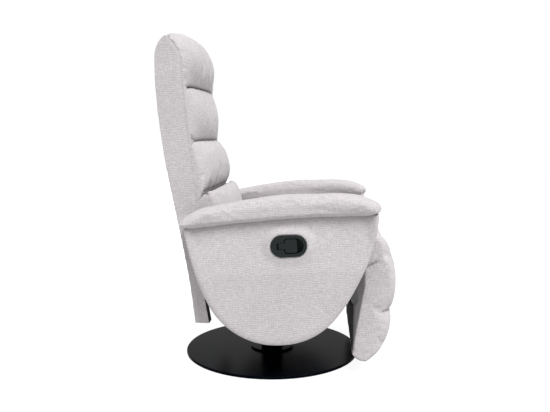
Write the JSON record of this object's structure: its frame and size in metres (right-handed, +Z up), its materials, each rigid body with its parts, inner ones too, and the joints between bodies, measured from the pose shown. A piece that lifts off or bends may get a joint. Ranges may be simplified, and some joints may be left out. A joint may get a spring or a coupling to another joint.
{
  "type": "swivel recliner",
  "caption": "Upholstered swivel recliner on a round disc base, with a puffed tall back, half-moon arms, a fold-out footrest and a paddle handle let into the right arm.",
  "frame": {"origin": "on the floor under the felt, at the swivel axis", "axes": "+Z up, +X towards the sitter's feet, +Y towards the sitter's left"},
  "size_m": [0.7403, 0.742, 1.08],
  "materials": {
    "upholstery": "woven light warm grey fabric",
    "black_lining": "thin black lining cloth",
    "webbing": "elastic webbing",
    "floor_felt": "felt",
    "disc_enamel": "fine satin black powder coat",
    "mechanism_steel": "black coated steel",
    "bright_steel": "zinc plated",
    "spring_steel": "drawn wire",
    "nylon": "natural nylon",
    "timber": "bare plywood and pine",
    "handle_plastic": "fine grained moulding"
  },
  "bodies": {
    "base": {"base_felt": "floor_felt", "base_disc": "disc_enamel", "base_column": "disc_enamel", "column_screws": "bright_steel", "column_bushings": "nylon", "thrust_washer": "nylon"},
    "seat": {"spindle": "bright_steel", "spindle_circlip": "bright_steel", "chassis_bolts": "bright_steel", "hinge_pins": "bright_steel", "arm_bolts": "bright_steel", "friction_washers": "bright_steel", "rail_spacers": "bright_steel", "paddle_pin": "bright_steel", "swivel_plate": "mechanism_steel", "rear_cross_tube": "mechanism_steel", "front_cross_tube": "mechanism_steel", "side_plate_left": "mechanism_steel", "side_plate_right": "mechanism_steel", "lock_housing": "mechanism_steel", "seat_rail_left": "timber", "seat_rail_right": "timber", "seat_rail_front": "timber", "seat_rail_rear": "timber", "arm_frame_left": "timber", "arm_frame_right": "timber", "seat_cushion": "upholstery", "arm_inner_pad_left": "upholstery", "arm_inner_pad_right": "upholstery", "arm_outer_pad_left": "upholstery", "arm_outer_pad_right": "upholstery", "arm_pad_left": "upholstery", "arm_pad_right": "upholstery", "seat_springs": "spring_steel", "handle_cup": "handle_plastic"},
    "drive": {"torque_tube": "mechanism_steel", "drive_cranks": "mechanism_steel"},
    "links": {"push_links": "mechanism_steel"},
    "footrest": {"footrest_board": "timber", "footrest_lining": "black_lining", "footrest_bracket_left": "mechanism_steel", "footrest_bracket_right": "mechanism_steel", "footrest_upper_pad": "upholstery", "footrest_lower_pad": "upholstery"},
    "back": {"back_stile_left": "timber", "back_stile_right": "timber", "back_rail_low": "timber", "back_rail_middle": "timber", "back_rail_top": "timber", "back_straps": "webbing", "back_cover": "upholstery", "wing_linings": "black_lining", "back_brackets": "mechanism_steel", "lumbar_puff": "upholstery", "middle_puff": "upholstery", "upper_puff": "upholstery", "head_puff": "upholstery"},
    "paddle": {"handle_paddle": "handle_plastic"},
    "lever": {"lock_lever": "mechanism_steel"}
  },
  "joints": [
    {"name": "swivel", "type": "hinge", "parent": "base", "child": "seat", "pos_m": [0, 0, 0.1], "axis": [0, 0, 1], "continuous": true},
    {"name": "recline", "type": "hinge", "parent": "seat", "child": "back", "pos_m": [-0.16, 0, 0.36], "axis": [0, -1, 0], "range_deg": [0, 30]},
    {"name": "footrest_fold", "type": "hinge", "parent": "seat", "child": "footrest", "pos_m": [0.3, 0, 0.39], "axis": [0, -1, 0], "range_deg": [0, 95]},
    {"name": "crank_turn", "type": "hinge", "parent": "seat", "child": "drive", "pos_m": [0.144, 0, 0.3], "axis": [0, -1, 0], "range_deg": [0, 95]},
    {"name": "link_swing", "type": "hinge", "parent": "drive", "child": "links", "pos_m": [0.09579, 0, 0.24255], "axis": [0, -1, 0], "range_deg": [-95, 0]},
    {"name": "paddle_pull", "type": "hinge", "parent": "seat", "child": "paddle", "pos_m": [0.04904, -0.3615, 0.42959], "axis": [0.0523, 0, -0.9986], "range_deg": [0, 35], "stiffness_Nm_per_rad": 0.05, "springref_deg": -17.19},
    {"name": "lever_turn", "type": "hinge", "parent": "seat", "child": "lever", "pos_m": [0.144, 0, 0.3], "axis": [0, -1, 0], "range_deg": [0, 20]}
  ],
  "couplings": [
    {"joint": "crank_turn", "follows": "footrest_fold", "ratio": 1},
    {"joint": "link_swing", "follows": "footrest_fold", "ratio": -1},
    {"joint": "lever_turn", "follows": "paddle_pull", "ratio": 0.57}
  ]
}
